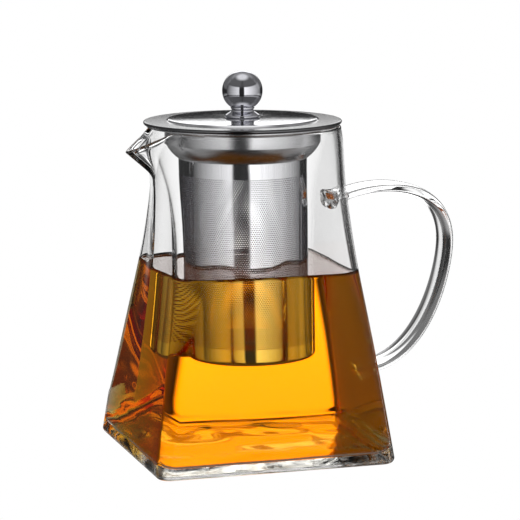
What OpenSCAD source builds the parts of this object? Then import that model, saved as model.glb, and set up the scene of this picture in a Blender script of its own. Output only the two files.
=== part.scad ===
// Square-footed glass teapot with a drop-in steel infuser and a steel ball-knob lid.
// The origin is the middle of the foot on the table. +Z is up, the spout points to -X
// and the handle to +X.

/* [Glass body] */
// Side of the square foot, at its widest
foot_side = 110.4; // [96:1:124]
// Rounding of the foot's four corners, in plan
foot_corner_r = 6.5; // [4:0.5:8]
// Height of the glass rim above the table
rim_z = 148.6; // [140:0.2:156]
// Outer radius of the round mouth
mouth_r = 44.4; // [43.8:0.1:46]
// Half width of the flat sides at the waist
waist_half = 42.5; // [41.5:0.1:43.5]
// Height at which the leaning sides turn upright
waist_z = 94.5; // [85:0.5:100]
// Thickness of the glass wall
wall_t = 2.3; // [2:0.1:2.8]
// Thickness of the glass floor
floor_t = 4; // [3:0.2:6]

/* [Spout] */
// Distance of the spout's tip from the pot's axis
tip_reach = 55.8; // [52:0.2:60]
// Height of the spout's tip above the table
tip_z = 139.5; // [137:0.5:142]
// Height at which the keel leaves the wall
keel_z = 126.5; // [122:0.5:129]
// Angle between the spout's middle and each root of its lip
root_angle = 25; // [22:0.5:28]
// Depth of the hollow on each side of the spout
pinch_depth = 4.4; // [0:0.2:5]

/* [Handle] */
// Width of the glass strap
strap_w = 15; // [12:0.5:18]
// Thickness of the glass strap
strap_t = 5; // [4.4:0.2:7]
// Distance of the strap's middle line from the pot's axis, at its furthest
handle_reach = 97.7; // [92:0.1:104]
// Height of the upper weld
upper_weld_z = 113.5; // [111:0.5:117]
// Height of the lower weld
lower_weld_z = 34; // [30:0.5:38]

/* [Infuser] */
// Outer radius of the flange that sits on the rim
flange_r = 43.6; // [43:0.1:44]
// Thickness of the flange
flange_t = 0.8; // [0.6:0.1:1]
// Outer radius of the collar
collar_r = 35.4; // [35:0.1:36]
// Height at which the collar's upright band ends
band_z = 141.7; // [139.5:0.1:143.5]
// Outer radius of the basket
basket_r = 29.2; // [28:0.1:30]
// Height of the basket's top edge
basket_top_z = 134.4; // [132:0.1:136]
// Height of the basket's underside
basket_low_z = 43.5; // [40:0.5:60]
// Thickness of the infuser's sheet steel
sheet_t = 0.6; // [0.4:0.1:0.8]

/* [Lid] */
// Radius of the lid
lid_r = 44.9; // [44.4:0.1:45.5]
// Thickness of the lid's sheet steel
lid_t = 0.8; // [0.6:0.1:1]
// Radius of the rolled edge's bead
bead_r = 0.8; // [0.7:0.05:0.9]
// Radius of the raised middle
plateau_r = 34.4; // [33:0.1:36]
// Height of the step up from the brim to the raised middle
plateau_rise = 0.8; // [0.3:0.1:1.2]
// How much higher the raised middle is at the knob than at its edge
crown = 0.3; // [0:0.1:0.6]
// How far the brim falls from the step to the rolled edge
brim_fall = 0.1; // [0.1:0.1:0.6]
// Depth of the skirt below the brim
skirt_depth = 6.5; // [4:0.5:8]

/* [Knob] */
// Radius of the ball
ball_r = 9.2; // [8:0.1:10]
// Radius of the flared foot under the ball
knob_foot_r = 7.9; // [7:0.1:9]
// Radius of the flat under the ball, where the neck ends
neck_r = 5.9; // [5.4:0.1:6]
// Radius of the screw's shank
screw_r = 2; // [1.5:0.1:2.2]

/* [Hidden] */
$fn = 96;

foot_half = foot_side / 2;
foot_round = 2.4;       // rounding between the foot and the walls
floor_round = 6;        // rounding inside, between the floor and the walls
turn_soft = 9.7;        // how gently the sides turn upright at the waist
corner_growth = 3;      // how late the square corners open into the round mouth
flare_start = 119;      // height at which the waist starts to open to the mouth
taper = (foot_half - waist_half) / (waist_z - foot_round);
keel_soft = 0.05;       // rounding of the keel, as the sine of an angle
blend = 3;              // width of the blend where the spout leaves the wall
pinch_angle = 37;       // middle of each hollow, from the middle of the spout
pinch_spread = 28;      // half width of each hollow, as an angle
pinch_growth = 0.6;     // how soon the hollows deepen with height
pinch_low = 20;         // height at which the hollows start
pinch_full = 120;       // height at which they are deepest
pinch_at_rim = 0.5;     // share of the depth left at the rim
rest_gap = 0.1;         // gap between pieces that rest on each other but lift apart
fit_gap = 0.05;         // gap round the knob's screw
skirt_gap = 0.6;        // gap between the lid's skirt and the collar
weld_flare = 0.75;      // how much wider the strap is at its welds
weld_fade = 3.5;        // distance over which the flare fades

flange_z = rim_z + rest_gap;
lid_z = flange_z + flange_t + rest_gap;     // underside of the lid's bead
brim_z = lid_z + 2 * bead_r;                // top of the rolled edge
step_z = brim_z + brim_fall;                // top of the brim, at the foot of the step
plateau_z = step_z + plateau_rise;          // edge of the raised middle
seat_z = plateau_z + crown;                 // where the knob stands
neck_top_z = seat_z + 4.9;
ball_z = neck_top_z + sqrt(ball_r * ball_r - neck_r * neck_r);
washer_t = 0.8;
washer_r = 5;
head_r = 3.6;
head_t = 2.2;
shank_top_z = ball_z - 2;

// Rises smoothly from 0 to 1 while x goes from a to b.
function ramp(a, b, x) = let (u = min(1, max(0, (x - a) / (b - a)))) u * u * (3 - 2 * u);

// The larger of p and q, with a rounded corner between them that is k wide.
function smooth_max(p, q, k) = let (h = max(0, k - abs(p - q)) / k) max(p, q) + h * h * k / 4;
function smooth_min(p, q, k) = -smooth_max(-p, -q, k);

// Angle from the middle of the nearest flat side, 0 to 45 degrees.
function off_side(a) = abs((a + 405) % 90 - 45);

// Angle from the middle of the spout, 0 to 180 degrees.
function off_spout(a) = abs((a + 360) % 360 - 180);

// Half width of the flat sides, and radius of the corners between them, at height z.
function side_half(z) =
    waist_half
    + taper * turn_soft * ln(1 + exp((waist_z - z) / turn_soft))
    + (mouth_r - waist_half) * ramp(flare_start, rim_z, z);
function corner_r(z) =
    foot_corner_r + (mouth_r - foot_corner_r) * pow(min(1, max(0, z) / rim_z), corner_growth);

// Distance from the axis to a square of half width w with corners of radius c, at angle a.
function square_reach(w, c, a) =
    let (f = off_side(a), m = w - c, p = m * (cos(f) + sin(f)))
    w * tan(f) <= m ? w / cos(f) : p + sqrt(max(0, p * p - 2 * m * m + c * c));

// Depth of the hollows beside the spout.
function pinch(a, z) =
    let (
        d = (off_spout(a) - pinch_angle) / pinch_spread,
        rise = min(1, max(0, (z - pinch_low) / (pinch_full - pinch_low))),
        fade = 1 - (1 - pinch_at_rim) * ramp(pinch_full, rim_z, z)
    )
    pinch_depth * exp(-d * d) * pow(rise, pinch_growth) * fade;

// The spout is two flat sides that meet on the keel. This is the side at +Y: the tip,
// the keel's foot and the lip's root lie on it, and spout_n points outwards.
keel_r = waist_half - 1.6;
root_r = mouth_r - pinch_depth * pinch_at_rim;
spout_tip = [-tip_reach, 0, tip_z];
spout_keel = [-keel_r, 0, keel_z];
spout_root = [-root_r * cos(root_angle), root_r * sin(root_angle), rim_z];
spout_cross = cross(spout_root - spout_tip, spout_keel - spout_tip);
spout_n = spout_cross / norm(spout_cross) * (spout_cross.x > 0 ? -1 : 1);
spout_d = spout_n * spout_tip;

// The sine of the angle from the keel, rounded where it is near zero.
function keel_sine(a) = sqrt(pow(sin(a), 2) + keel_soft * keel_soft) - keel_soft;

// Distance from the axis to the spout's side, moved inwards by inset.
function spout_reach(a, z, inset) =
    (spout_d - inset - spout_n.z * z) / (-spout_n.x * abs(cos(a)) + spout_n.y * keel_sine(a));

// Distance from the axis to the glass at angle a and height z, moved inwards by inset.
function glass_reach(a, z, inset) =
    let (
        wall = square_reach(side_half(z) - inset, max(3, corner_r(z) - inset), a) - pinch(a, z)
    )
    off_spout(a) < 50 ? smooth_max(wall, spout_reach(a, z, inset), blend) : wall;

// Height of the rim: level, but falling to the tip along the spout's lip.
function lip_share(a) =
    let (
        edge = spout_root - spout_tip,
        s = keel_sine(a),
        t = tip_reach * s / (edge.y * abs(cos(a)) + edge.x * s)
    )
    min(1, t);
function rim_height(a) =
    off_spout(a) < 50 ? smooth_min(rim_z, tip_z + (rim_z - tip_z) * lip_share(a), 1.5) : rim_z;

function reverse(list) = [for (i = [len(list) - 1 : -1 : 0]) list[i]];

// The angles are close together at the corners and round the spout.
corner_steps = [34, 39, 42.3, 43.2, 44.1];
side_steps = [for (a = [-27 : 9 : 27]) a];
spout_steps = [for (a = [-30 : 3 : 30]) a];
angles = [
    for (q = [0 : 3])
        for (a = concat(-45, -reverse(corner_steps), q == 2 ? spout_steps : side_steps, corner_steps))
            90 * q + a
];

// Shares of the wall's height, closer together in the upper part with the spout.
levels = concat([for (i = [0 : 8]) 0.73 * i / 9], [for (i = [0 : 10]) 0.73 + 0.27 * i / 10]);

function wall_point(a, z, inset) =
    let (r = glass_reach(a, z, inset)) [r * cos(a), r * sin(a), z];

function wall_ring(level, low, inset) =
    [for (a = angles) wall_point(a, low + (rim_height(a) - wall_t / 2 - low) * level, inset)];

// Rings from the foot's edge, up outside, over the rim and down inside to the floor.
foot_rings = [
    for (t = [0, 30, 60])
        [for (a = angles) wall_point(a, foot_round * (1 - cos(t)), foot_round * (1 - sin(t)))]
];
outer_rings = [for (v = levels) wall_ring(v, foot_round, 0)];
rim_rings = [
    for (t = [30 : 30 : 150])
        [
            for (a = angles)
                let (
                    z = rim_height(a) - wall_t / 2,
                    p = wall_point(a, z, wall_t / 2),
                    q = wall_point(a, z, 0)
                )
                p + (q - p) * cos(t) + [0, 0, wall_t / 2 * sin(t)]
        ]
];
inner_low = floor_t + floor_round;
inner_rings = [for (i = [len(levels) - 1 : -1 : 0]) wall_ring(levels[i], inner_low, wall_t)];
floor_rings = [
    for (t = [30, 60, 90])
        [
            for (a = angles)
                wall_point(
                    a, floor_t + floor_round * (1 - sin(t)), wall_t + floor_round * (1 - cos(t))
                )
        ]
];

function middle(ring) = [for (p = ring) 1] * ring / len(ring);

// A closed skin over rings of equal length, with a flat face on the first and last ring.
module skin(rings) {
    n = len(rings[0]);
    last = len(rings) - 1;
    points = [for (ring = rings) each ring];
    sides = [
        for (i = [0 : last - 1])
            for (j = [0 : n - 1])
                let (k = (j + 1) % n)
                each [
                    [i * n + j, (i + 1) * n + j, (i + 1) * n + k],
                    [i * n + j, (i + 1) * n + k, i * n + k]
                ]
    ];
    first_face = [for (j = [0 : n - 1]) [len(points), j, (j + 1) % n]];
    last_face = [for (j = [0 : n - 1]) [len(points) + 1, last * n + (j + 1) % n, last * n + j]];
    polyhedron(
        concat(points, [middle(rings[0]), middle(rings[last])]),
        concat(first_face, sides, last_face),
        convexity = 6
    );
}

module glass_body() {
    color("lightcyan", 0.4)
        skin(concat(foot_rings, outer_rings, rim_rings, inner_rings, floor_rings));
}

// The strap's middle line is two Bezier curves in the plane y = 0, which meet at its
// furthest point from the pot.
bend_z = 92;
weld_sink = 1.2;          // how far each end reaches into the wall
upper_weld = [side_half(upper_weld_z) - weld_sink, upper_weld_z];
lower_weld = [side_half(lower_weld_z) - weld_sink, lower_weld_z];
upper_curve = [
    upper_weld, [65, upper_weld_z + 9.2], [handle_reach, upper_weld_z + 6.2], [handle_reach, bend_z]
];
lower_curve = [
    [handle_reach, bend_z], [handle_reach, 77], [86, lower_weld_z - 4], lower_weld
];

function bezier(p, t) =
    let (s = 1 - t)
    s * s * s * p[0] + 3 * s * s * t * p[1] + 3 * s * t * t * p[2] + t * t * t * p[3];
function bezier_way(p, t) =
    let (
        s = 1 - t,
        d = s * s * (p[1] - p[0]) + 2 * s * t * (p[2] - p[1]) + t * t * (p[3] - p[2])
    )
    d / norm(d);

// Section of the strap: an oval with full sides.
strap_sides = 20;
oval_power = 2 / 3;
function full(x) = sign(x) * pow(abs(x), oval_power);

function strap_ring(curve, t) =
    let (
        p = bezier(curve, t),
        d = bezier_way(curve, t),
        near = min(norm(p - upper_weld), norm(p - lower_weld)),
        grow = 1 + weld_flare * exp(-pow(near / weld_fade, 2))
    )
    [
        for (i = [0 : strap_sides - 1])
            let (
                a = 360 * i / strap_sides,
                out = strap_t / 2 * grow * full(cos(a)),
                across = strap_w / 2 * (1 + (grow - 1) / 2) * full(sin(a))
            )
            [p.x + d.y * out, across, p.y - d.x * out]
    ];

strap_steps = concat([0, 0.015, 0.03, 0.045, 0.06], [for (i = [2 : 20]) i / 20]);
strap_rings = concat(
    [for (t = strap_steps) strap_ring(upper_curve, t)],
    [for (i = [len(strap_steps) - 2 : -1 : 0]) strap_ring(lower_curve, 1 - strap_steps[i])]
);

module glass_handle() {
    color("lightcyan", 0.4) skin(strap_rings);
}

// The collar is one pressing: flange, upright band and a bowl-shaped shoulder, under whose
// edge the basket is butt welded. The shoulder is an arc: its lean from upright grows from
// lean_start, where it leaves the band with a crease, to lean_end at the basket.
shoulder_h = band_z - basket_top_z;
shoulder_w = collar_r - basket_r;
lean_start = 25;
lean_end = 2 * atan(shoulder_w / shoulder_h) - lean_start;
shoulder_arc = shoulder_h / (sin(lean_end) - sin(lean_start));
module infuser_collar() {
    steps = 6;
    leans = [for (i = [0 : steps]) lean_start + (lean_end - lean_start) * i / steps];
    shoulder = [
        for (t = leans)
            [
                collar_r - shoulder_arc * (cos(lean_start) - cos(t)),
                band_z - shoulder_arc * (sin(t) - sin(lean_start))
            ]
    ];
    inside = [
        for (i = [steps - 1 : -1 : 1])
            shoulder[i] + sheet_t * [-cos(leans[i]), sin(leans[i])]
    ];
    color("silver") rotate_extrude() polygon(concat(
        [[collar_r - sheet_t, flange_z + flange_t], [flange_r, flange_z + flange_t],
         [flange_r, flange_z], [collar_r, flange_z]],
        shoulder,
        [[basket_r - sheet_t, basket_top_z],
         [basket_r - sheet_t, basket_top_z + sheet_t * tan(lean_end / 2)]],
        inside,
        [[collar_r - sheet_t, band_z + sheet_t * tan(lean_start / 2)]]
    ));
}

// The basket's perforated sheet, rolled into a tube.
cap_h = 3.6;
module basket_wall() {
    low = basket_low_z + cap_h;
    color("silver") translate([0, 0, low]) difference() {
        cylinder(h = basket_top_z - low, r = basket_r);
        translate([0, 0, -1]) cylinder(h = basket_top_z - low + 2, r = basket_r - sheet_t);
    }
}

// The pressed cap that closes the basket, butt welded under the tube.
cap_round = 2;
module basket_bottom() {
    color("silver") rotate_extrude() {
        square_low = [0, basket_low_z];
        translate(square_low) square([basket_r - cap_round, sheet_t]);
        translate([basket_r - cap_round, basket_low_z + cap_round]) intersection() {
            difference() {
                circle(cap_round);
                circle(cap_round - sheet_t);
            }
            translate([0, -cap_round]) square(cap_round);
        }
        translate([basket_r - sheet_t, basket_low_z + cap_round])
            square([sheet_t, cap_h - cap_round]);
    }
}

// The lid is pressed from one disc: a crowned middle with a flat seat for the knob, a step,
// a sloping brim and a rolled edge.
step_w = 1.4;
skirt_r = collar_r - sheet_t - skirt_gap;
module lid_plate() {
    edge_r = plateau_r - step_w / 2;
    crown_steps = 8;
    top = [
        for (i = [0 : crown_steps])
            let (share = i / crown_steps)
            [knob_foot_r + (edge_r - knob_foot_r) * share, seat_z - crown * share * share]
    ];
    under = [
        for (i = [crown_steps : -1 : 0])
            top[i] - [i == crown_steps ? step_w / 2 : 0, lid_t]
    ];
    bead = [
        for (t = [90 : -15 : -180])
            [lid_r - bead_r + bead_r * cos(t), lid_z + bead_r + bead_r * sin(t)]
    ];
    color("silver") difference() {
        rotate_extrude() polygon(concat(
            [[0, seat_z]],
            top,
            [[plateau_r, step_z]],
            bead,
            [[skirt_r + 0.4, step_z - lid_t], [edge_r, step_z - lid_t]],
            under,
            [[0, seat_z - lid_t]]
        ));
        translate([0, 0, seat_z - 2 * lid_t]) cylinder(h = 3 * lid_t, r = screw_r + fit_gap);
    }
}

// The ring welded under the brim, which centres the lid in the collar.
module lid_skirt() {
    top = step_z - lid_t;
    color("silver") translate([0, 0, top - skirt_depth]) difference() {
        cylinder(h = skirt_depth, r = skirt_r);
        translate([0, 0, -1]) cylinder(h = skirt_depth + 2, r = skirt_r - sheet_t);
    }
}

// The ferrule between the lid and the ball: a rounded foot, a cone and two beads on a waist.
foot_edge_r = 0.7;
neck_bead_r = 0.6;
module knob_neck() {
    waist = neck_r - 1.3;
    color("silver") difference() {
        rotate_extrude() {
            polygon([
                [0, seat_z],
                [knob_foot_r - foot_edge_r, seat_z],
                [knob_foot_r - 0.4 * foot_edge_r, seat_z + 1.8 * foot_edge_r],
                [waist, neck_top_z - 1.6],
                [waist, neck_top_z],
                [0, neck_top_z]
            ]);
            translate([knob_foot_r - foot_edge_r, seat_z + foot_edge_r]) circle(foot_edge_r);
            for (z = [neck_top_z - neck_bead_r, neck_top_z - neck_bead_r - 1.3])
                translate([waist + 0.2, z]) circle(neck_bead_r);
        }
        translate([0, 0, seat_z - 1]) cylinder(h = 8, r = screw_r + fit_gap);
    }
}

module knob_ball() {
    color("silver") difference() {
        translate([0, 0, ball_z]) sphere(ball_r);
        translate([0, 0, neck_top_z - 2 * ball_r])
            cylinder(h = 2 * ball_r, r = 2 * ball_r);
        translate([0, 0, neck_top_z - 1])
            cylinder(h = shank_top_z - neck_top_z + 1.5, r = screw_r + fit_gap);
    }
}

module knob_screw() {
    head_top = seat_z - lid_t - washer_t;
    slot_w = 0.8;
    slot_l = 4;
    color("gray") difference() {
        union() {
            translate([0, 0, head_top - head_t]) cylinder(h = head_t, r = head_r);
            cylinder_low = head_top - 0.5;
            translate([0, 0, cylinder_low]) cylinder(h = shank_top_z - cylinder_low, r = screw_r);
        }
        for (turn = [0, 90])
            rotate(turn) translate([-slot_l / 2, -slot_w / 2, head_top - head_t - 1])
                cube([slot_l, slot_w, 2]);
    }
}

module knob_washer() {
    color("gray") translate([0, 0, seat_z - lid_t - washer_t]) difference() {
        cylinder(h = washer_t, r = washer_r);
        translate([0, 0, -1]) cylinder(h = washer_t + 2, r = screw_r + fit_gap);
    }
}

glass_body();
glass_handle();
infuser_collar();
basket_wall();
basket_bottom();
lid_plate();
lid_skirt();
knob_neck();
knob_ball();
knob_screw();
knob_washer();
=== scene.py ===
"""Looks of the square-footed glass teapot: clear glass, tea, perforated infuser, steel lid.

Sizes are in mm and angles in degrees, unless a comment says otherwise. Most visible pieces are
built here, in the frame of the CAD, to the boxes of the nodes that they replace. The tea
replaces none. The lid's skirt, screw and washer are shown as the CAD has them.
"""

import math

import bmesh
import bpy
import numpy as np
from mathutils import Matrix, Vector
from mathutils.geometry import delaunay_2d_cdt


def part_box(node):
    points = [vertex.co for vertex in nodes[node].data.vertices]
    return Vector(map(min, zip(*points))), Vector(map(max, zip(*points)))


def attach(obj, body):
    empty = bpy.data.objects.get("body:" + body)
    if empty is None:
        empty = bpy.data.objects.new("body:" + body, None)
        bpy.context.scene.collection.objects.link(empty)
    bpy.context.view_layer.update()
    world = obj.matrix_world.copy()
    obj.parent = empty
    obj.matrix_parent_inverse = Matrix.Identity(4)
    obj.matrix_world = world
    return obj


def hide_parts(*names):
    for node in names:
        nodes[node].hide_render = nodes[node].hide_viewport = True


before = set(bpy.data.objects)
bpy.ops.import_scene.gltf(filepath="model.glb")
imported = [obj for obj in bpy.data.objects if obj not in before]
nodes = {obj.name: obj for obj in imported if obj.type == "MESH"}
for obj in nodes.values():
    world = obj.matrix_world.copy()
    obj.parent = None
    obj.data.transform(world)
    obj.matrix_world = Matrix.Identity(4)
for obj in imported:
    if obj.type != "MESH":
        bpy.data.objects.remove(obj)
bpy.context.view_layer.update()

MM = 0.001
SCENE = bpy.context.scene


# ---------------------------------------------------------------- sizes, in mm
def box_mm(node):
    """Lowest and highest corner of a CAD node, in mm."""
    low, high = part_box(node)
    return np.array(low) / MM, np.array(high) / MM


_, body_high = box_mm("glass_body")
collar_low, collar_high = box_mm("infuser_collar")
wall_low, wall_high = box_mm("basket_wall")
cap_low, cap_high = box_mm("basket_bottom")
plate_low, plate_high = box_mm("lid_plate")
neck_low, neck_high = box_mm("knob_neck")
ball_low, ball_high = box_mm("knob_ball")

# glass body
FOOT_HALF = body_high[1]
RIM_Z = body_high[2]
FOOT_CORNER_R = 6.5
MOUTH_R = 44.4
WAIST_HALF = 42.5
WAIST_Z = 94.5
WALL_T = 2.3
FLOOR_T = 4.0
FOOT_ROUND = 2.4
FLOOR_ROUND = 6.0
TURN_SOFT = 9.7  # how softly the taper turns upright at the waist
CORNER_GROWTH = 3.0  # power with which the corners open towards the mouth
INNER_CORNER_R = 3.0  # least radius of an inside corner
FLARE_START = 119.0
TAPER = (FOOT_HALF - WAIST_HALF) / (WAIST_Z - FOOT_ROUND)

# spout, and the dents that pulling it leaves on both sides of it
TIP_REACH = 55.8
TIP_Z = 139.5
KEEL_Z = 126.5
KEEL_SINK = 1.6  # how far inside the waist the keel starts
KEEL_SOFT = 0.05
ROOT_ANGLE = 25.0
SPOUT_REGION = 50.0  # angle from the spout's middle within which it can stand out
BLEND = 3.0
LIP_BLEND = 1.5
PINCH_DEPTH = 4.4
PINCH_ANGLE = 37.0
PINCH_SPREAD = 28.0
PINCH_GROWTH = 0.6
PINCH_LOW = 20.0
PINCH_FULL = 120.0
PINCH_AT_RIM = 0.5

# glass handle
STRAP_W = 15.0
STRAP_T = 5.0
STRAP_FULLNESS = 2 / 3  # power of the oval section, 1 for an ellipse and less for a fuller one
HANDLE_REACH = 97.7
UPPER_WELD_Z = 113.5
LOWER_WELD_Z = 34.0
BEND_Z = 92.0
UPPER_PULL_R = 65.0  # the pull points shape the two curves of the strap
UPPER_PULL_RISE = 9.2
SHOULDER_PULL_RISE = 6.2
BEND_PULL_Z = 77.0
LOWER_PULL_R = 86.0
LOWER_PULL_DROP = 4.0

# tea
TEA_Z = 84.6
TEA_OVERLAP = 0.2  # how far the tea reaches into the glass
MENISCUS = 1.1  # how far it climbs the wall
MENISCUS_FADE = 0.8
SHORE = 5.0  # width of the band along the wall in which the surface is curved

# glass details that only the looks need
PUSH_UP = 0.5  # of the underside's middle
WELD_SINK = 0.3
WELD_FLARE = 0.75  # share by which the strap grows at a weld
WELD_FADE = 3.5

# infuser
SHEET_T = 0.6
FLANGE_T = 0.8
COLLAR_R = 35.4
BAND_Z = 141.7
LEAN_START = 25.0
CAP_ROUND = 2.0
HOLE_PITCH = 1.03
HOLE_R = 0.36
HOLES_LOW_Z = 51.0
HOLES_HIGH_Z = 128.6
DISC_PITCH = 1.2 * HOLE_PITCH
DISC_MARGIN = 4.5  # from the perforated disc to the outside of the tube

# lid
LID_T = 0.8
BEAD_R = 0.8
PLATEAU_R = 34.4
PLATEAU_RISE = 0.8
CROWN = 0.3
STEP_W = 1.4

# knob
NECK_R = 5.9
WAIST_DROP = 1.3  # from the neck's radius to its waist's
NECK_BEAD_R = 0.6
NECK_BEAD_GAP = 1.3
FOOT_EDGE_R = 0.7
CONE_BELOW_BALL = 1.6


# ---------------------------------------------------------------- mesh helpers
def new_piece(name, points, faces, body, slot, smooth_angle=None):
    """A mesh piece from points in mm, which rides on a body; the slot it is given is not used."""
    mesh = bpy.data.meshes.new(name)
    mesh.from_pydata((np.asarray(points) * MM).tolist(), [], faces)
    mesh.update()
    mesh.polygons.foreach_set("use_smooth", np.ones(len(mesh.polygons), bool))
    if smooth_angle:
        mesh.set_sharp_from_angle(angle=math.radians(smooth_angle))
    piece = bpy.data.objects.new(name, mesh)
    SCENE.collection.objects.link(piece)
    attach(piece, body)
    return piece


def ring_faces(rings, count, start=0, closed=False):
    """Quads between consecutive rings of count points, the first ring starting at point start."""
    j = np.arange(count)
    k = (j + 1) % count
    faces = []
    for i in range(rings if closed else rings - 1):
        a = start + i * count
        b = start + ((i + 1) % rings) * count
        faces += np.stack([a + j, a + k, b + k, b + j], 1).tolist()
    return faces


def capped_rings(rings):
    """Points and faces of a closed skin over rings of equal length, with a fan on each end."""
    rings = np.asarray(rings)
    count = rings.shape[1]
    points = np.concatenate([rings.reshape(-1, 3), rings[:1].mean(1), rings[-1:].mean(1)])
    faces = ring_faces(len(rings), count)
    j = np.arange(count)
    k = (j + 1) % count
    first = len(points) - 2
    last = (len(rings) - 1) * count
    faces += np.stack([np.full(count, first), k, j], 1).tolist()
    faces += np.stack([np.full(count, first + 1), last + j, last + k], 1).tolist()
    return points, faces


def lathe(name, outline, body, slot, segments=288, sharp=50):
    """A closed outline of (r, z) points in mm turned round the axis."""
    outline = np.asarray(outline, float)
    turn = np.linspace(0, 2 * np.pi, segments, endpoint=False)[:, None]
    r, z = outline[:, 0], np.broadcast_to(outline[:, 1], (segments, len(outline)))
    points = np.stack([np.cos(turn) * r, np.sin(turn) * r, z], -1).reshape(-1, 3)
    piece = new_piece(name, points, ring_faces(segments, len(outline), closed=True), body, slot)
    mesh = bmesh.new()
    mesh.from_mesh(piece.data)
    bmesh.ops.remove_doubles(mesh, verts=mesh.verts, dist=1e-7)
    bmesh.ops.dissolve_degenerate(mesh, edges=mesh.edges, dist=1e-7)
    bmesh.ops.recalc_face_normals(mesh, faces=mesh.faces)
    mesh.to_mesh(piece.data)
    mesh.free()
    piece.data.set_sharp_from_angle(angle=math.radians(sharp))
    return piece


def fillet(outline, steps=6):
    """An outline of (r, z, radius) corners with each corner rounded by an arc of its radius."""
    out = []
    corners = [np.array(c[:2], float) for c in outline]
    for i, (corner, radius) in enumerate(zip(corners, [c[2] for c in outline])):
        if radius <= 0:
            out.append(corner)
            continue
        before = corners[i - 1] - corner
        after = corners[(i + 1) % len(corners)] - corner
        before /= np.linalg.norm(before)
        after /= np.linalg.norm(after)
        half = math.acos(np.clip(before @ after, -1, 1)) / 2
        cut = radius / math.tan(half)
        inwards = (before + after) / np.linalg.norm(before + after)
        centre = corner + inwards * radius / math.sin(half)
        a, b = corner + before * cut - centre, corner + after * cut - centre
        sweep = math.pi - 2 * half
        for s in range(steps + 1):
            w = s / steps
            p = (a * math.sin((1 - w) * sweep) + b * math.sin(w * sweep)) / math.sin(sweep)
            out.append(centre + p)
    return np.array(out)


# ---------------------------------------------------------------- shape of the glass
def ramp(a, b, x):
    """0 up to a, 1 from b on, with a smooth way between."""
    u = np.clip((x - a) / (b - a), 0, 1)
    return u * u * (3 - 2 * u)


def smooth_max(p, q, k):
    """The larger of p and q, rounded off where they differ by less than k."""
    h = np.maximum(0, k - np.abs(p - q)) / k
    return np.maximum(p, q) + h * h * k / 4


def off_spout(a):
    """Angle between a and the middle of the spout."""
    return np.abs((a + 360) % 360 - 180)


def side_half(z):
    """Half the width across the flats, which stays the same over the rounded edge of the foot."""
    z = np.maximum(z, FOOT_ROUND)
    return (
        WAIST_HALF
        + TAPER * TURN_SOFT * np.log1p(np.exp((WAIST_Z - z) / TURN_SOFT))
        + (MOUTH_R - WAIST_HALF) * ramp(FLARE_START, RIM_Z, z)
    )


def corner_r(z):
    """Radius of the four corners, from the foot's small one to the round mouth's."""
    return FOOT_CORNER_R + (MOUTH_R - FOOT_CORNER_R) * np.clip(z / RIM_Z, 0, 1) ** CORNER_GROWTH


def square_reach(w, c, a):
    """Distance at angle a to the edge of a square of half width w with corners of radius c."""
    f = np.radians(np.abs((a + 405) % 90 - 45))
    m = w - c
    p = m * (np.cos(f) + np.sin(f))
    corner = p + np.sqrt(np.maximum(0, p * p - 2 * m * m + c * c))
    return np.where(w * np.tan(f) <= m, w / np.cos(f), corner)


def pinch(a, z):
    """Depth of the dents on both sides of the spout."""
    d = (off_spout(a) - PINCH_ANGLE) / PINCH_SPREAD
    rise = np.clip((z - PINCH_LOW) / (PINCH_FULL - PINCH_LOW), 0, 1) ** PINCH_GROWTH
    fade = 1 - (1 - PINCH_AT_RIM) * ramp(PINCH_FULL, RIM_Z, z)
    return PINCH_DEPTH * np.exp(-d * d) * rise * fade


# each side face of the spout is a plane through its tip, its keel and its root on the rim
root_r = MOUTH_R - PINCH_DEPTH * PINCH_AT_RIM
root_turn = math.radians(ROOT_ANGLE)
spout_tip = np.array([-TIP_REACH, 0, TIP_Z])
spout_keel = np.array([-(WAIST_HALF - KEEL_SINK), 0, KEEL_Z])
spout_root = np.array([-root_r * math.cos(root_turn), root_r * math.sin(root_turn), RIM_Z])
spout_n = np.cross(spout_root - spout_tip, spout_keel - spout_tip)
spout_n *= (-1 if spout_n[0] > 0 else 1) / np.linalg.norm(spout_n)
spout_d = spout_n @ spout_tip


def keel_sine(a):
    """How far angle a turns away from the keel, rounded off at the keel."""
    return np.sqrt(np.sin(np.radians(a)) ** 2 + KEEL_SOFT**2) - KEEL_SOFT


def glass_reach(a, z, inset):
    """Distance from the axis to the glass at angle a and height z, moved inwards by inset."""
    corner = np.maximum(INNER_CORNER_R, corner_r(z) - inset)
    wall = square_reach(side_half(z) - inset, corner, a) - pinch(a, z)
    spout = (spout_d - inset - spout_n[2] * z) / (
        -spout_n[0] * np.abs(np.cos(np.radians(a))) + spout_n[1] * keel_sine(a)
    )
    return np.where(off_spout(a) < SPOUT_REGION, smooth_max(wall, spout, BLEND), wall)


def rim_height(a):
    """Height of the rim, which slopes down over the spout to its tip."""
    edge = spout_root - spout_tip
    s = keel_sine(a)
    along = np.minimum(1, TIP_REACH * s / (edge[1] * np.abs(np.cos(np.radians(a))) + edge[0] * s))
    lip = -smooth_max(np.full_like(a, -RIM_Z), -(TIP_Z + (RIM_Z - TIP_Z) * along), LIP_BLEND)
    return np.where(off_spout(a) < SPOUT_REGION, lip, RIM_Z)


def fine_angles(count=384):
    """Angles round the pot, close together at the four corners and round the spout."""
    a = np.linspace(0, 360, 7200, endpoint=False)
    off_corner = np.abs((a + 405) % 90 - 45) - 45
    at_corner = np.exp(-((off_corner / 5) ** 2))
    at_spout = np.exp(-((off_spout(a) / 24) ** 2))
    share = np.concatenate([[0], np.cumsum(1 + 3.5 * at_corner + 1.6 * at_spout)])
    return np.interp(np.arange(count) / count * share[-1], share, np.append(a, 360))


ANGLES = fine_angles()
SHRINK = (0.06, 0.3, 0.6, 0.85, 0.95)  # sizes of the rings that close the bottom of a skin


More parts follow.
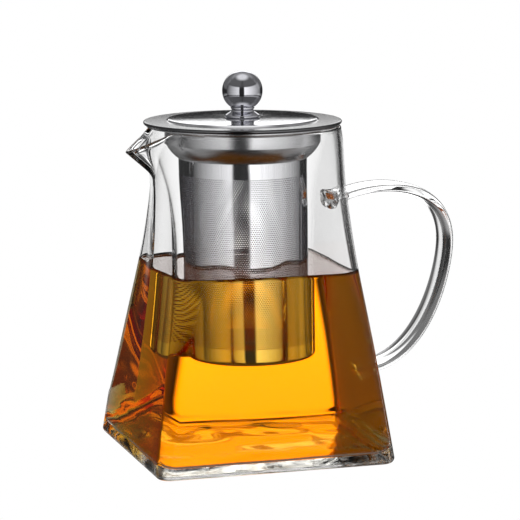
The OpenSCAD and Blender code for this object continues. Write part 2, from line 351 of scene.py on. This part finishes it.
def wall_points(z, inset):
    """A ring of points round the pot at height z, inside the outer face by inset."""
    z = np.broadcast_to(z, ANGLES.shape)
    r = glass_reach(ANGLES, z, inset)
    t = np.radians(ANGLES)
    return np.stack([r * np.cos(t), r * np.sin(t), z], -1)


def glass_rings():
    """Rings from the middle of the underside, up outside, over the rim and down to the floor."""
    rim = rim_height(ANGLES) - WALL_T / 2
    inside_low = FLOOR_T + FLOOR_ROUND
    fine_from = 0.72
    levels = np.concatenate(
        [np.linspace(0, fine_from, 60, endpoint=False), np.linspace(fine_from, 1, 46)]
    )
    foot = [
        wall_points(FOOT_ROUND * (1 - math.cos(t)), FOOT_ROUND * (1 - math.sin(t)))
        for t in np.radians(np.arange(0, 90, 10))
    ]
    under = [foot[0] * [s, s, 1] + [0, 0, PUSH_UP * (1 - s**2)] for s in SHRINK]
    outside = [wall_points(FOOT_ROUND + (rim - FOOT_ROUND) * v, 0) for v in levels]
    edge, middle = wall_points(rim, 0), wall_points(rim, WALL_T / 2)
    lip = [
        middle + (edge - middle) * math.cos(t) + [0, 0, WALL_T / 2 * math.sin(t)]
        for t in np.radians(np.arange(15, 180, 15))
    ]
    inside = [wall_points(inside_low + (rim - inside_low) * v, WALL_T) for v in levels[::-1]]
    turn = [
        wall_points(
            FLOOR_T + FLOOR_ROUND * (1 - math.sin(t)), WALL_T + FLOOR_ROUND * (1 - math.cos(t))
        )
        for t in np.radians(np.arange(9, 91, 9))
    ]
    floor = [turn[-1] * [s, s, 1] for s in (0.97, 0.9, 0.75, 0.5, 0.25, 0.06)]
    return under + foot + outside + lip + inside + turn + floor


glass_body = new_piece("glass_pot", *capped_rings(glass_rings()), "pot", "clear_glass")
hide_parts("glass_body")


# ---------------------------------------------------------------- glass handle
def bezier(p, t):
    """Point at t on the cubic curve of four points."""
    s = 1 - t
    return s**3 * p[0] + 3 * s * s * t * p[1] + 3 * s * t * t * p[2] + t**3 * p[3]


def bezier_way(p, t):
    """Direction of the curve at t, of length 1."""
    s = 1 - t
    d = s * s * (p[1] - p[0]) + 2 * s * t * (p[2] - p[1]) + t * t * (p[3] - p[2])
    return d / np.linalg.norm(d)


def strap_rings():
    """An oval strap swept along two curves, whose ends spread on to the wall."""
    upper_weld = np.array([side_half(UPPER_WELD_Z) - WELD_SINK, UPPER_WELD_Z])
    lower_weld = np.array([side_half(LOWER_WELD_Z) - WELD_SINK, LOWER_WELD_Z])
    bend = np.array([HANDLE_REACH, BEND_Z])
    upper = [
        upper_weld,
        np.array([UPPER_PULL_R, UPPER_WELD_Z + UPPER_PULL_RISE]),
        np.array([HANDLE_REACH, UPPER_WELD_Z + SHOULDER_PULL_RISE]),
        bend,
    ]
    lower = [
        bend,
        np.array([HANDLE_REACH, BEND_PULL_Z]),
        np.array([LOWER_PULL_R, LOWER_WELD_Z - LOWER_PULL_DROP]),
        lower_weld,
    ]
    turn = np.linspace(0, 2 * np.pi, 56, endpoint=False)
    full_cos = np.sign(np.cos(turn)) * np.abs(np.cos(turn)) ** STRAP_FULLNESS
    full_sin = np.sign(np.sin(turn)) * np.abs(np.sin(turn)) ** STRAP_FULLNESS
    near_weld = np.array([0, 0.004, 0.009, 0.015, 0.022, 0.03, 0.04, 0.052, 0.066, 0.082, 0.1])
    steps = np.concatenate([near_weld, np.linspace(0.12, 1, 64)])
    places = [(upper, t) for t in steps] + [(lower, 1 - t) for t in steps[-2::-1]]
    rings = []
    for curve, t in places:
        p, d = bezier(curve, t), bezier_way(curve, t)
        near = min(np.linalg.norm(p - upper_weld), np.linalg.norm(p - lower_weld))
        grow = 1 + WELD_FLARE * math.exp(-((near / WELD_FADE) ** 2))
        out = STRAP_T / 2 * grow * full_cos
        across = STRAP_W / 2 * (1 + (grow - 1) / 2) * full_sin
        rings.append(np.stack([p[0] + d[1] * out, across, p[1] - d[0] * out], 1))
    for end in (0, -1):
        rings[end][:, 0] = side_half(rings[end][:, 2]) - WELD_SINK
    return rings


glass_handle = new_piece("glass_strap", *capped_rings(strap_rings()), "pot", "clear_glass")
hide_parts("glass_handle")


# ---------------------------------------------------------------- tea
def tea_rings():
    """Rings from the middle of the floor up the wall, and over the surface to its middle."""
    inset = WALL_T - TEA_OVERLAP
    low = FLOOR_T - TEA_OVERLAP
    turn = [
        wall_points(low + FLOOR_ROUND * (1 - math.cos(t)), inset + FLOOR_ROUND * (1 - math.sin(t)))
        for t in np.radians(np.arange(0, 90, 9))
    ]
    floor = [turn[0] * [s, s, 1] for s in SHRINK]
    top = TEA_Z + MENISCUS
    sides = [wall_points(z, inset) for z in np.linspace(low + FLOOR_ROUND, top, 40)]
    surface = []
    for step in (0.25, 0.5, 0.8, 1.2, 1.7, 2.4, 3.4):
        height = TEA_Z + MENISCUS * math.exp(-step / MENISCUS_FADE)
        surface.append(wall_points(TEA_Z, inset + step) * [1, 1, 0] + [0, 0, height])
    shore = wall_points(TEA_Z, inset + SHORE)
    surface += [shore * [s, s, 1] for s in (1, 0.8, 0.55, 0.3, 0.06)]
    return floor + turn + sides + surface


tea = new_piece("tea", *capped_rings(tea_rings()), "pot", "tea")


# ---------------------------------------------------------------- infuser
def thicken(points, faces):
    """Faces of a closed sheet: a flat pattern, its copy behind, and walls on its edges."""
    n = len(points)
    sides = faces.shape[1]
    edges = np.concatenate([faces[:, [i, (i + 1) % sides]] for i in range(sides)])
    key = np.sort(edges, 1) @ [n, 1]
    _, index, times = np.unique(key, return_index=True, return_counts=True)
    a, b = edges[index[times == 1]].T
    return faces, faces[:, ::-1] + n, np.stack([b, a, a + n, b + n], 1)


def perforated_tube(name, first, last):
    """The basket's tube from hole column first to last, with staggered holes through it."""
    radius, low, high = wall_high[1], wall_low[2], wall_high[2]
    half = math.pi * radius / hole_columns
    row_step = half * math.sqrt(3)
    rows = int((HOLES_HIGH_Z - HOLES_LOW_Z) / row_step)
    k = np.arange(2 * first - 1, 2 * last + 2)
    width = len(k)

    # lines of cell corners between the rows of holes, and a straight line at each end
    centre_z = HOLES_LOW_Z + row_step * (np.arange(rows) + 0.5)
    lines = [np.full(width, low)]
    for j in range(rows + 1):
        z = HOLES_LOW_Z + row_step * (j + 0.5)
        lines.append(z - row_step * np.where((k + j) % 2 == 0, 2, 1) / 3)
    lines.append(np.full(width, high))
    corners = np.stack([np.broadcast_to(k * half, (rows + 3, width)), lines], -1)

    # six corners of each cell and six points of its hole, both counter-clockwise from the right
    j, i = np.meshgrid(np.arange(rows), np.arange(first, last), indexing="ij")
    column = 2 * i + j % 2 - k[0]
    below, above = (j + 1) * width + column, (j + 2) * width + column
    cell = np.stack([above + 1, above, above - 1, below - 1, below, below + 1], -1)
    turn = np.radians([30, 90, 150, 210, 270, 330])
    hole_centre = np.stack([(2 * i + j % 2) * half, centre_z[j]], -1)
    hole_points = hole_centre[..., None, :] + HOLE_R * np.stack([np.cos(turn), np.sin(turn)], -1)
    start = corners.size // 2
    hole = start + np.arange(hole_points.size // 2).reshape(*cell.shape)
    quads = [
        np.stack([cell[..., m], cell[..., n], hole[..., n], hole[..., m]], -1).reshape(-1, 4)
        for m, n in zip(range(6), [1, 2, 3, 4, 5, 0])
    ]
    band = np.arange(1, 2 * (last - first) + 1)
    for line in (0, rows + 1):
        a = line * width + band
        quads.append(np.stack([a, a + 1, a + 1 + width, a + width], 1))
    pattern = np.concatenate([corners.reshape(-1, 2), hole_points.reshape(-1, 2)])
    outer, inner, walls = thicken(pattern, np.concatenate(quads))

    angle = pattern[:, 0] / radius
    way = np.stack([np.cos(angle), np.sin(angle), np.zeros(len(angle))], 1)
    up = pattern[:, 1:] * [[0, 0, 1]]
    points = np.concatenate([way * radius + up, way * (radius - SHEET_T) + up])
    faces = np.concatenate([outer, inner, walls])
    piece = new_piece(name, points, faces.tolist(), "infuser", "satin_steel")
    across = points[walls]
    wall_normal = np.cross(across[:, 1] - across[:, 0], across[:, 3] - across[:, 0])
    wall_normal /= np.linalg.norm(wall_normal, axis=1)[:, None]
    normals = np.concatenate(
        [
            way[outer].reshape(-1, 3),
            -way[inner - len(pattern)].reshape(-1, 3),
            np.repeat(wall_normal, 4, 0),
        ]
    )
    piece.data.normals_split_custom_set(normals.tolist())
    return piece


hole_columns = round(2 * math.pi * wall_high[1] / HOLE_PITCH)
splits = np.linspace(0, hole_columns, 4).astype(int)
basket_sheets = [
    perforated_tube(f"basket_sheet_{n + 1}", splits[n], splits[n + 1]) for n in range(3)
]
for part in basket_sheets:
    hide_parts("basket_wall")


def perforated_disc(name, radius, low, high, pitch, hole_r):
    """A flat disc with staggered holes through it."""
    edge_turn = np.linspace(0, 2 * np.pi, 144, endpoint=False)
    edge = np.stack([np.cos(edge_turn), np.sin(edge_turn)], 1) * radius
    span = int(radius / pitch) + 2
    i, j = np.meshgrid(np.arange(-span, span + 1), np.arange(-span, span + 1))
    across, along = (i + (j % 2) / 2) * pitch, j * pitch * math.sqrt(3) / 2
    centres = np.stack([across, along], -1).reshape(-1, 2)
    centres = centres[np.linalg.norm(centres, axis=1) < radius - 2 * pitch]
    turn = np.radians(np.arange(30, 390, 60))
    ring = hole_r * np.stack([np.cos(turn), np.sin(turn)], 1)
    points = np.concatenate([edge, (centres[:, None] + ring).reshape(-1, 2)])
    holes = [len(edge) + 6 * n + np.arange(6) for n in range(len(centres))]
    loops = [np.arange(len(edge)), *holes]
    edges = np.concatenate([np.stack([a, np.roll(a, -1)], 1) for a in loops])
    flat = delaunay_2d_cdt([Vector(p) for p in points], edges.tolist(), [], 1, 1e-5)
    points, triangles = np.array(flat[0]), np.array(flat[2])
    middle = points[triangles].mean(1)
    nearest = np.min(np.linalg.norm(middle[:, None] - centres[None], axis=2), axis=1)
    triangles = triangles[nearest > hole_r * 0.6]
    a, b, c = points[triangles].transpose(1, 0, 2)
    flip = np.cross(b - a, c - a) > 0
    triangles[flip] = triangles[flip][:, ::-1]
    under, upper, walls = thicken(points, triangles)
    layers = [np.column_stack([points, np.full(len(points), z)]) for z in (low, high)]
    faces = under.tolist() + upper.tolist() + walls.tolist()
    return new_piece(name, np.concatenate(layers), faces, "infuser", "satin_steel", 40)


cap_z, cap_r = cap_low[2], cap_high[1]
disc_r = cap_r - DISC_MARGIN
strainer_disc = perforated_disc(
    "strainer_disc", disc_r, cap_z, cap_z + SHEET_T, DISC_PITCH, HOLE_R
)
strainer_rim = lathe(
    "strainer_rim",
    fillet(
        [
            (disc_r, cap_z + SHEET_T, 0),
            (disc_r, cap_z, 0),
            (cap_r, cap_z, CAP_ROUND),
            (cap_r, cap_high[2], 0),
            (cap_r - SHEET_T, cap_high[2], 0),
            (cap_r - SHEET_T, cap_z + SHEET_T, CAP_ROUND - SHEET_T),
        ]
    ),
    "infuser",
    "satin_steel",
)
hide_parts("basket_bottom")
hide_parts("basket_bottom")

flange_z, flange_top = collar_high[2] - FLANGE_T, collar_high[2]
shoulder_r, shoulder_z = wall_high[1], collar_low[2]
# the shoulder under the band is an arc that leans inwards more and more, down to the tube
lean_chord = math.atan2(COLLAR_R - shoulder_r, BAND_Z - shoulder_z)
lean_end = 2 * lean_chord - math.radians(LEAN_START)
lean = np.linspace(math.radians(LEAN_START), lean_end, 19)
shoulder_arc = (BAND_Z - shoulder_z) / (math.sin(lean_end) - math.sin(lean[0]))
shoulder = np.column_stack(
    [
        COLLAR_R - shoulder_arc * (math.cos(lean[0]) - np.cos(lean)),
        BAND_Z - shoulder_arc * (np.sin(lean) - math.sin(lean[0])),
        np.zeros(len(lean)),
    ]
)
shoulder_inside = shoulder - SHEET_T * np.column_stack([np.cos(lean), -np.sin(lean), 0 * lean])
infuser_collar = lathe(
    "collar",
    fillet(
        [
            (COLLAR_R - SHEET_T, flange_top, 0.9),
            (COLLAR_R - SHEET_T, BAND_Z + SHEET_T * math.tan(lean[0] / 2), 0),
            *shoulder_inside[1:-1],
            (shoulder_r - SHEET_T, shoulder_z + SHEET_T * math.tan(lean_end / 2), 0),
            (shoulder_r - SHEET_T, shoulder_z, 0),
            *shoulder[::-1],
            (COLLAR_R, flange_z, 0.3),
            (collar_high[0], flange_z, 0.35),
            (collar_high[0], flange_top, 0.35),
        ]
    ),
    "infuser",
    "satin_steel",
)
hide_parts("infuser_collar")


# ---------------------------------------------------------------- lid
lid_r, lid_z, seat_z = plate_high[0], plate_low[2], plate_high[2]
knob_foot_r = neck_high[0]
plateau_z = seat_z - CROWN
step_z = plateau_z - PLATEAU_RISE
skirt_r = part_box("lid_skirt")[1][0] / MM
bead = [
    (lid_r - BEAD_R + BEAD_R * math.cos(t), lid_z + BEAD_R + BEAD_R * math.sin(t), 0)
    for t in np.radians(np.arange(-180, 91, 15))
]
# points close to both ends of the brim keep its shading straight
brim_z = lid_z + 2 * BEAD_R
brim = [
    (r, brim_z + (step_z - brim_z) * (lid_r - BEAD_R - r) / (lid_r - BEAD_R - PLATEAU_R), 0)
    for r in (lid_r - BEAD_R - 0.3, PLATEAU_R + 0.8)
]


def crown_top(last_r):
    """Points of the raised middle from the knob's seat to radius last_r."""
    share = np.linspace(0, 1, 16, endpoint=False)
    edge_r = PLATEAU_R - STEP_W / 2
    r = knob_foot_r + (last_r - knob_foot_r) * share
    z = seat_z - CROWN * ((r - knob_foot_r) / (edge_r - knob_foot_r)) ** 2
    return np.column_stack([r, z, 0 * r])


lid_plate = lathe(
    "lid_pressing",
    fillet(
        [
            (0, seat_z - LID_T, 0),
            *(crown_top(PLATEAU_R - STEP_W) - [0, LID_T, 0]),
            (PLATEAU_R - STEP_W, plateau_z - LID_T, 0.3),
            (PLATEAU_R - STEP_W / 2, step_z - LID_T, 0.2),
            (skirt_r + 0.4, step_z - LID_T, 0),
            *bead,
            *brim,
            (PLATEAU_R, step_z, 0.4),
            (PLATEAU_R - STEP_W / 2, plateau_z, 0.35),
            *crown_top(PLATEAU_R - STEP_W / 2)[::-1],
            (0, seat_z, 0),
        ]
    ),
    "lid",
    "polished_steel",
)
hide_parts("lid_plate")

neck_z = np.linspace(neck_low[2], neck_high[2], 90)


def neck_reach(z):
    """Radius of the ferrule: a rounded foot, a cone, and two beads on a waist under the ball."""
    up = z - neck_low[2]
    down = neck_high[2] - z

    def bulge(height, radius):
        return np.sqrt(np.maximum(0, radius**2 - height**2))

    edge = knob_foot_r - FOOT_EDGE_R + bulge(up - FOOT_EDGE_R, FOOT_EDGE_R)
    waist = NECK_R - WAIST_DROP
    cone_r, cone_low = knob_foot_r - 0.4 * FOOT_EDGE_R, 1.8 * FOOT_EDGE_R
    cone_high = neck_high[2] - neck_low[2] - CONE_BELOW_BALL
    cone = np.interp(up, [cone_low, cone_high], [cone_r, waist])
    foot = np.where(up < cone_low, edge, cone)
    beads = [
        waist + 0.2 + bulge(down - drop, NECK_BEAD_R)
        for drop in (NECK_BEAD_R, NECK_BEAD_R + NECK_BEAD_GAP)
    ]
    return np.maximum.reduce([foot, *beads])


knob_neck = lathe(
    "knob_ferrule",
    [(0, neck_low[2]), *zip(neck_reach(neck_z), neck_z), (0, neck_high[2])],
    "lid",
    "polished_steel",
)
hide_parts("knob_neck")

ball_r = ball_high[0]
ball_z = ball_high[2] - ball_r
ball_start = math.asin((ball_low[2] - ball_z) / ball_r)
knob_ball = lathe(
    "knob_ball_polished",
    [
        (0, ball_low[2]),
        *[
            (ball_r * math.cos(t), ball_z + ball_r * math.sin(t))
            for t in np.linspace(ball_start, math.pi / 2, 120)[:-1]
        ],
        (0, ball_high[2]),
    ],
    "lid",
    "polished_steel",
)
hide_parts("knob_ball")


# ---------------------------------------------------------------- materials
class Nodes:
    """A node tree with short ways to add nodes."""

    def __init__(self, tree):
        self.tree = tree
        tree.nodes.clear()

    def add(self, kind, *numbered, **named):
        """A node with inputs set or linked, by number and by name, with _ for a space."""
        node = self.tree.nodes.new(kind)
        for number, value in enumerate(numbered):
            self.put(node.inputs[number], value)
        for name, value in named.items():
            self.put(node.inputs[name.replace("_", " ")], value)
        return node

    def put(self, socket, value):
        """Link a socket from another socket, or set its value."""
        if isinstance(value, bpy.types.NodeSocket):
            self.tree.links.new(value, socket)
        else:
            socket.default_value = value

    def math(self, operation, a, b=0.0):
        node = self.add("ShaderNodeMath", a, b)
        node.operation = operation
        return node.outputs[0]

    def span(self, value, low, high, to_low, to_high, smooth=False):
        """A value's place between low and high, moved to the range from to_low to to_high."""
        node = self.add("ShaderNodeMapRange", value, low, high, to_low, to_high)
        if smooth:
            node.interpolation_type = "SMOOTHSTEP"
        return node.outputs[0]

    def blend(self, factor, first, second):
        """A colour between first and second, each red, green and blue."""
        node = self.add("ShaderNodeMix", factor)
        node.data_type = "RGBA"
        for socket, colour in zip(("A_Color", "B_Color"), (first, second)):
            chosen = next(i for i in node.inputs if i.identifier == socket)
            chosen.default_value = (*colour, 1)
        return next(o for o in node.outputs if o.identifier == "Result_Color")

    def reach(self):
        """Distance from the pot's axis."""
        x, y, _ = self.add("ShaderNodeSeparateXYZ", Vector=self.place()).outputs
        squares = self.math("ADD", self.math("MULTIPLY", x, x), self.math("MULTIPLY", y, y))
        return self.math("SQRT", squares)

    def polar(self, radial, turning, axial):
        """Round the pot's axis: radius, angle and height, each multiplied, as a vector."""
        x, y, z = self.add("ShaderNodeSeparateXYZ", Vector=self.place()).outputs
        angle = self.math("ARCTAN2", y, x)
        return self.add(
            "ShaderNodeCombineXYZ",
            X=self.math("MULTIPLY", self.reach(), radial),
            Y=self.math("MULTIPLY", angle, turning),
            Z=self.math("MULTIPLY", z, axial),
        ).outputs[0]

    def noise(self, vector, scale, detail):
        return self.add("ShaderNodeTexNoise", Vector=vector, Scale=scale, Detail=detail).outputs[0]

    def bump(self, height, distance, strength=1.0):
        """Normal of a surface raised by height times distance, in metres."""
        node = self.add("ShaderNodeBump", Strength=strength, Distance=distance, Height=height)
        return node.outputs["Normal"]

    def place(self):
        """Place in the object's own frame, which is the CAD's, in metres."""
        return self.add("ShaderNodeTexCoord").outputs["Object"]

    def finish(self, shader, volume=None):
        out = self.add("ShaderNodeOutputMaterial", Surface=shader.outputs[0])
        if volume:
            self.put(out.inputs["Volume"], volume.outputs[0])


def new_material(name):
    """An empty material and its nodes."""
    material = bpy.data.materials.new(name)
    material.use_nodes = True
    return material, Nodes(material.node_tree)


def steel(name, colour, dark, rough, grain, satin_and_painted_shade_from=None):
    """Stainless steel whose fine grain runs round the axis (radial, turning, axial frequencies).

    Farther from the axis than the radius given last, in mm, the finish is brushed, and its colour
    is darkened there as a painted shade.
    """
    material, n = new_material(name)
    streaks = n.noise(n.polar(*grain), 1.0, 3.0)
    clouds = n.noise(n.place(), 60.0, 2.0)
    tone = n.blend(n.span(streaks, 0.3, 0.7, 0.0, 1.0), dark, colour)
    roughness = n.math(
        "ADD",
        n.span(streaks, 0.3, 0.7, rough * 0.75, rough * 1.2),
        n.span(clouds, 0.35, 0.65, 0.0, rough * 0.25),
    )
    if satin_and_painted_shade_from:
        edge, soft = satin_and_painted_shade_from * MM, 0.3 * MM
        outer = n.span(n.reach(), edge - soft, edge + soft, 0.0, 1.0, True)
        roughness = n.math("ADD", roughness, n.math("MULTIPLY", outer, SATIN_ROUGH))
        # past that radius the colour is darkened: painted shade
        shade = n.span(outer, 0.0, 1.0, 1.0, BRIM_PAINTED_SHADE)
        tone = n.add("ShaderNodeHueSaturation", Color=tone, Value=shade).outputs[0]
    shader = n.add("ShaderNodeBsdfPrincipled", Base_Color=tone, Metallic=1.0, Roughness=roughness)
    n.put(shader.inputs["Normal"], n.bump(streaks, GRAIN_DEPTH * MM, 0.25))
    n.finish(shader)
    return material


def see_through(n, colour, ior, normal):
    """A smooth shader that lets light through, with a weak reflection."""
    shader = n.add("ShaderNodeBsdfPrincipled", Base_Color=colour, IOR=ior, Normal=normal)
    shader.inputs["Roughness"].default_value = 0.0
    shader.inputs["Transmission Weight"].default_value = 1.0
    shader.inputs["Specular Tint"].default_value = WEAK_REFLECTION
    return shader


def clear_glass(name):
    """Fire-polished glass: faint waves in its wall, and stronger ones in its thick foot."""
    material, n = new_material(name)
    slow = n.noise(n.place(), 38.0, 1.0)
    _, _, z = n.add("ShaderNodeSeparateXYZ", Vector=n.place()).outputs
    low = n.span(z, 1.2 * FLOOR_T * MM, 3 * FLOOR_T * MM, 1.0, 0.0, True)
    in_foot = n.math("MULTIPLY", n.noise(n.place(), 45.0, 0.0), low)
    height = n.math("ADD", slow, n.math("MULTIPLY", in_foot, FOOT_WAVE / WALL_WAVE))
    tone = n.blend(slow, (0.98, 0.98, 0.98), (0.99, 0.99, 0.99))
    n.finish(see_through(n, tone, GLASS_IOR, n.bump(height, WALL_WAVE * MM)))
    return material


def tea_liquid(name):
    """Clear amber tea."""
    material, n = new_material(name)
    ripple = n.bump(n.noise(n.place(), 45.0, 1.0), TEA_WAVE * MM)
    absorb = n.add("ShaderNodeVolumeAbsorption")
    absorb.inputs["Color"].default_value = TEA_COLOUR
    absorb.inputs["Density"].default_value = TEA_DENSITY
    n.finish(see_through(n, (1, 1, 1, 1), TEA_IOR, ripple), absorb)
    return material


def give(material, *objects):
    """Make a material the only one of some objects."""
    for o in objects:
        o.data.materials.clear()
        o.data.materials.append(material)


# radial, turning and axial frequency of the grain, per metre, radian and metre
ROUND_GRAIN = (9000.0, 0.6, 9000.0)
UPRIGHT_GRAIN = (300.0, 160.0, 12.0)
GRAIN_DEPTH = 0.02
SATIN_ROUGH = 0.1
# share of its colour that the lid's brim keeps: a painted shade
BRIM_PAINTED_SHADE = 0.18

WEAK_REFLECTION = (0.05, 0.05, 0.05, 1)
GLASS_IOR = 1.47
WALL_WAVE = 0.12
FOOT_WAVE = 0.8
TEA_IOR = 1.333
TEA_WAVE = 0.04
TEA_COLOUR = (0.985, 0.79, 0.01, 1)
TEA_DENSITY = 70.0  # per metre

glass = clear_glass("clear_glass_look")
mirror_steel = steel(
    "polished_steel_look", (0.68, 0.68, 0.72), (0.58, 0.58, 0.62), 0.04, ROUND_GRAIN
)
# past the plateau the lid's colour carries a painted shade
lid_steel = steel(
    "lid_steel_look", (0.80, 0.80, 0.82), (0.72, 0.72, 0.74), 0.04, ROUND_GRAIN, PLATEAU_R
)
sheet_steel = steel(
    "sheet_steel_look", (0.86, 0.86, 0.88), (0.74, 0.74, 0.76), 0.05, UPRIGHT_GRAIN
)
collar_steel = steel(
    "collar_steel_look", (0.70, 0.70, 0.71), (0.62, 0.62, 0.63), 0.2, ROUND_GRAIN
)
screw_steel = steel(
    "screw_steel_look", (0.55, 0.55, 0.56), (0.45, 0.45, 0.46), 0.3, ROUND_GRAIN
)

give(glass, glass_body, glass_handle)
give(tea_liquid("tea_look"), tea)
give(sheet_steel, *basket_sheets, strainer_disc, strainer_rim)
give(collar_steel, infuser_collar, nodes["lid_skirt"])
give(lid_steel, lid_plate)
give(mirror_steel, knob_neck, knob_ball)
give(screw_steel, nodes["knob_screw"], nodes["knob_washer"])


# ---------------------------------------------------------------- studio
VIEW_TURN = math.radians(16.5)
BASE_LIGHT = 0.03
SPILL = 0.12  # light of the table under the pot on the glass


def studio_world():
    """A white backdrop, and the light that the pot reflects and refracts.

    A direction has a side, 0 towards the camera, 90 to its right and 180 straight behind the
    pot, and a rise over the horizon. A patch is lit between two sides and two rises.
    """
    world = bpy.data.worlds.new("studio")
    SCENE.world = world
    world.use_nodes = True
    n = Nodes(world.node_tree)
    way = n.add("ShaderNodeTexCoord").outputs["Generated"]
    turned = n.add("ShaderNodeVectorRotate", Vector=way, Angle=VIEW_TURN)
    turned.rotation_type = "Z_AXIS"
    x, y, z = n.add("ShaderNodeSeparateXYZ", Vector=turned.outputs[0]).outputs
    side = n.math("MULTIPLY", n.math("ARCTAN2", x, n.math("MULTIPLY", y, -1.0)), 180 / math.pi)
    rise = n.math("MULTIPLY", n.math("ARCSINE", z), 180 / math.pi)

    def band(value, low, high, soft):
        """1 between low and high, 0 outside."""
        up = n.span(value, low - soft, low + soft, 0.0, 1.0, True)
        down = n.span(value, high - soft, high + soft, 1.0, 0.0, True)
        return n.math("MULTIPLY", up, down)

    def patch(levels, sides, sides_soft, rises, rises_soft, both_sides=False):
        """Light that goes from one level to the other across the patch."""
        angle = n.math("ABSOLUTE", side) if both_sides else side
        area = n.math("MULTIPLY", band(angle, *sides, sides_soft), band(rise, *rises, rises_soft))
        return n.math("MULTIPLY", area, n.span(angle, *sides, *levels))

    patches = [
        # soft boxes in front, left and right, with a dark gap between them
        patch((0.03, 1.1), (-100, -18), 3, (-34, 24), 4),
        patch((1.5, 0.12), (11, 122), 3, (-34, 24), 4),
        # behind at the sides, seen through the pot's side faces
        patch((0.45, 0.06), (100, 165), 6, (-40, -12), 4, True),
        patch((0.14, 0.14), (100, 165), 6, (4, 40), 4, True),
        # straight behind: seen through clear glass, in the lid, and through the tea
        patch((0.9, 1.1), (163, 200), 6, (-12, -3), 3, True),
        patch((1.6, 1.7), (163, 200), 6, (6.9, 38), 0.5, True),
        patch((2.4, 2.4), (171, 200), 4, (-30, -14), 3, True),
        # from below and from above
        patch((0.3, 0.3), (40, 120), 10, (-62, -38), 4, True),
        patch((0.35, 0.35), (110, 200), 20, (42, 70), 10, True),
        patch((0.12, 0.12), (-1, 110), 20, (24, 70), 10, True),
        patch((1.0, 1.0), (-1, 200), 1, (68, 95), 10, True),
    ]
    total = BASE_LIGHT
    for light in patches:
        total = n.math("ADD", light, total)
    studio = n.add("ShaderNodeBackground", Strength=total)
    backdrop = n.add("ShaderNodeBackground", Strength=1.0)
    for shade in (studio, backdrop):
        shade.inputs["Color"].default_value = (1, 1, 1, 1)
    seen = n.add("ShaderNodeLightPath").outputs["Is Camera Ray"]
    mixed = n.add("ShaderNodeMixShader", seen, studio.outputs[0], backdrop.outputs[0])
    n.add("ShaderNodeOutputWorld", Surface=mixed.outputs[0])


def table_top(margin=1.0, gap=0.3):
    """The table under the foot: as white as the backdrop to the camera, dim to the glass."""
    edge = wall_points(FOOT_ROUND, -margin) * [MM, MM, 0] - [0, 0, gap * MM]
    mesh = bpy.data.meshes.new("floor")
    mesh.from_pydata(edge.tolist(), [], [list(range(len(edge)))])
    floor = bpy.data.objects.new("floor", mesh)
    SCENE.collection.objects.link(floor)
    material, n = new_material("floor_look")
    seen = n.add("ShaderNodeLightPath").outputs["Is Camera Ray"]
    n.finish(n.add("ShaderNodeEmission", Strength=n.math("MAXIMUM", seen, SPILL)))
    mesh.materials.append(material)


studio_world()
table_top()

SCENE.view_settings.view_transform = "Standard"
SCENE.cycles.max_bounces = 512
SCENE.cycles.transmission_bounces = 512
SCENE.cycles.glossy_bounces = 24  # also counts reflections inside the glass


# ---------------------------------------------------------------- camera
CAMERA_DISTANCE = 1180.0
CAMERA_HEIGHT = 276.9
AIM_RIGHT = 7.5
AIM_Z = 87.0
ROLL = -0.006  # radians
LENS = 181.7


def photo_camera():
    """The camera, at the photo's angle: over the table and to the spout's side of the front."""
    away = Vector((-math.sin(VIEW_TURN), -math.cos(VIEW_TURN), 0))
    right = Vector((math.cos(VIEW_TURN), -math.sin(VIEW_TURN), 0))
    place = away * CAMERA_DISTANCE + Vector((0, 0, CAMERA_HEIGHT))
    look = (right * AIM_RIGHT + Vector((0, 0, AIM_Z)) - place).normalized()
    level = look.cross(Vector((0, 0, 1))).normalized()
    top = level.cross(look)
    side = level * math.cos(ROLL) + top * math.sin(ROLL)
    up = top * math.cos(ROLL) - level * math.sin(ROLL)
    turn = Matrix((side, up, -look)).transposed().to_4x4()
    lens = bpy.data.cameras.new("photo_camera")
    lens.lens = LENS
    lens.clip_start, lens.clip_end = 0.05, 50  # metres
    camera = bpy.data.objects.new("photo_camera", lens)
    camera.matrix_world = Matrix.Translation(place * MM) @ turn
    SCENE.collection.objects.link(camera)
    SCENE.camera = camera


photo_camera()

bpy.context.view_layer.update()
